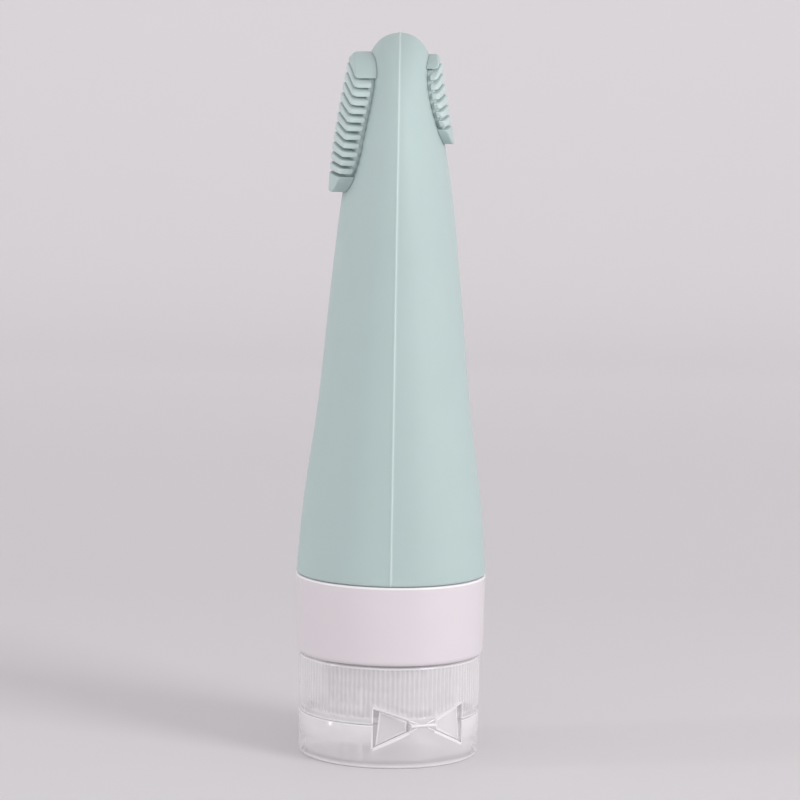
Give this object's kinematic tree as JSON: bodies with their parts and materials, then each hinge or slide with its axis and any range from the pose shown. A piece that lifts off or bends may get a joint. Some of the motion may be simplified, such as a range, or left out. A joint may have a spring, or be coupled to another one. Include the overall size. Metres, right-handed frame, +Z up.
{
  "type": "travel squeeze bottle",
  "caption": "Squeezable silicone travel bottle with two ribbed rubbing pads, a white collar and a clear screw cap with a flip lid on a butterfly hinge.",
  "frame": {"origin": "middle of the lid's flat outer face, which the bottle stands on; bottom centre of the bounding box", "axes": "+Z up from the lid's face to the bottle's rounded tip; the broad faces look along X, with the large pad at -X and the small one at +X; the parting line runs up the narrow edges at -Y and +Y"},
  "size_m": [0.0432, 0.0488, 0.163],
  "materials": {
    "silicone_mint": "satin moulded silicone, pastel green",
    "white_polypropylene": "semi-gloss moulded white plastic",
    "clear_polypropylene": "clear, slightly milky moulded plastic",
    "seal_silicone": "milky translucent silicone washer"
  },
  "bodies": {
    "bottle": {"silicone_body": "silicone_mint", "brush_pad_large": "silicone_mint", "brush_pad_small": "silicone_mint", "collar_ring": "white_polypropylene", "neck_insert": "white_polypropylene"},
    "cap_carrier": {"neck_gasket": "seal_silicone"},
    "cap": {"cap_base": "clear_polypropylene"},
    "lid": {"flip_lid": "clear_polypropylene"},
    "wing_left": {"hinge_wing_left": "clear_polypropylene"},
    "wing_right": {"hinge_wing_right": "clear_polypropylene"}
  },
  "joints": [
    {"name": "cap_lift", "type": "slide", "parent": "bottle", "child": "cap_carrier", "axis": [0, 0, -1], "range_m": [0, 0.0045]},
    {"name": "cap_turn", "type": "hinge", "parent": "cap_carrier", "child": "cap", "pos_m": [0, 0, 0.0183], "axis": [0, 0, -1], "range_deg": [0, 540]},
    {"name": "lid_hinge", "type": "hinge", "parent": "cap", "child": "lid", "pos_m": [0.00783, -0.01938, 0.0099], "axis": [-0.9272, -0.3746, 0], "range_deg": [0, 155]},
    {"name": "wing_right_hinge", "type": "hinge", "parent": "cap", "child": "wing_right", "pos_m": [0.00783, -0.01938, 0.0099], "axis": [0.7202, 0.6165, 0.3181], "range_deg": [-97, 0]},
    {"name": "wing_left_hinge", "type": "hinge", "parent": "cap", "child": "wing_left", "pos_m": [0.00783, -0.01938, 0.0099], "axis": [-0.9463, -0.0568, 0.3181], "range_deg": [0, 97]}
  ],
  "couplings": [
    {"joint": "cap_lift", "follows": "cap_turn", "m_per_rad": 0.00047746},
    {"joint": "wing_right_hinge", "follows": "lid_hinge", "ratio": -0.59994},
    {"joint": "wing_left_hinge", "follows": "lid_hinge", "ratio": 0.59994}
  ]
}
